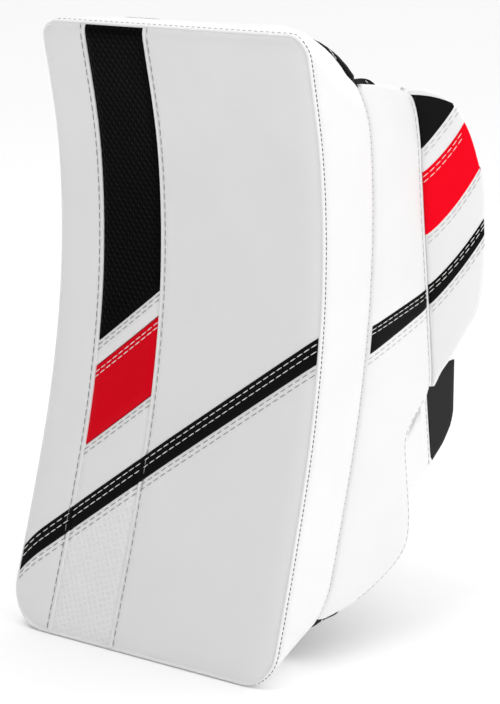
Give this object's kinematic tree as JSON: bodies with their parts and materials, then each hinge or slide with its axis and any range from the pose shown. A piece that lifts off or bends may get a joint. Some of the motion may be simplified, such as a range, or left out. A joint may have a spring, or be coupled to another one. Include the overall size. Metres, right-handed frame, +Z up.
{
  "type": "goalie blocker",
  "caption": "Ice hockey goalie blocker: a hollow-curved padded board with a sidewall, a flared cuff wing and a glove behind it, with hinged finger and thumb stalls and a wrist strap.",
  "frame": {"origin": "the middle of the hand cavity, where the hand holds the part up", "axes": "+X across the board to the thumb side, -Y the way the face looks, +Z up the forearm, fingers down"},
  "size_m": [0.2327, 0.203, 0.376],
  "materials": {
    "white_leather": "smooth polyurethane-coated fabric, satin",
    "black_leather": "black coated fabric with a fine emboss, satin",
    "red_leather": "red coated fabric, satin",
    "black_nylon": "woven black nylon",
    "black_mesh": "black mesh textile with a small hexagonal weave",
    "foam": "closed-cell foam, matt",
    "plastic_sheet": "polyethylene sheet",
    "palm_suede": "grey synthetic suede, matt"
  },
  "bodies": {
    "blocker": {"face_left_panel": "white_leather", "face_right_panel": "white_leather", "inlay_white_band": "white_leather", "inlay_white_panel": "white_leather", "face_welt": "white_leather", "board_gusset": "white_leather", "sidewall_shell": "white_leather", "wing_shell": "white_leather", "inlay_black": "black_leather", "face_stripe": "black_leather", "sidewall_stripe": "black_leather", "wing_black_panel": "black_leather", "wing_stripe": "black_leather", "inlay_red": "red_leather", "wing_red_panel": "red_leather", "back_cover": "black_nylon", "back_binding": "black_nylon", "sidewall_liner": "black_nylon", "wing_liner": "black_nylon", "top_corner_cloth": "black_nylon", "bottom_corner_cloth": "black_nylon", "backhand_pad": "black_nylon", "wrist_pad": "black_nylon", "hand_side_panel": "black_nylon", "strap_loop_patch": "black_nylon", "strap_anchor": "black_nylon", "face_foam": "foam", "core_foam": "foam", "sidewall_core": "foam", "wing_core": "foam", "stiffener_plate": "plastic_sheet", "palm_panel": "palm_suede", "palm_patch": "palm_suede"},
    "little_finger": {"little_finger_pad": "white_leather", "little_finger_palm": "palm_suede"},
    "ring_finger": {"ring_finger_pad": "white_leather", "ring_finger_palm": "palm_suede"},
    "middle_finger": {"middle_finger_pad": "white_leather", "middle_finger_palm": "palm_suede"},
    "index_finger": {"index_finger_pad": "white_leather", "index_finger_palm": "palm_suede"},
    "thumb": {"thumb_stall": "palm_suede", "thumb_guard_shell": "white_leather", "thumb_guard_core": "foam", "thumb_guard_liner": "black_nylon", "thumb_guard_inlay": "black_mesh"},
    "strap": {"wrist_strap": "black_nylon", "strap_hook_patch": "black_nylon", "strap_pull_tab": "red_leather"}
  },
  "joints": [
    {"name": "little_curl", "type": "hinge", "parent": "blocker", "child": "little_finger", "pos_m": [-0.035, 0, -0.05], "axis": [1, 0, 0], "range_deg": [0, 75]},
    {"name": "ring_curl", "type": "hinge", "parent": "blocker", "child": "ring_finger", "pos_m": [-0.0115, 0, -0.05], "axis": [1, 0, 0], "range_deg": [0, 75]},
    {"name": "middle_curl", "type": "hinge", "parent": "blocker", "child": "middle_finger", "pos_m": [0.012, 0, -0.05], "axis": [1, 0, 0], "range_deg": [0, 75]},
    {"name": "index_curl", "type": "hinge", "parent": "blocker", "child": "index_finger", "pos_m": [0.0355, 0, -0.05], "axis": [1, 0, 0], "range_deg": [0, 75]},
    {"name": "thumb_flex", "type": "hinge", "parent": "blocker", "child": "thumb", "pos_m": [0.08, 0.036, -0.042], "axis": [0, 1, 0], "range_deg": [-4, 12]},
    {"name": "strap_peel", "type": "hinge", "parent": "blocker", "child": "strap", "pos_m": [-0.044, 0.0288, 0.044], "axis": [0, 0, 1], "range_deg": [0, 110]}
  ]
}
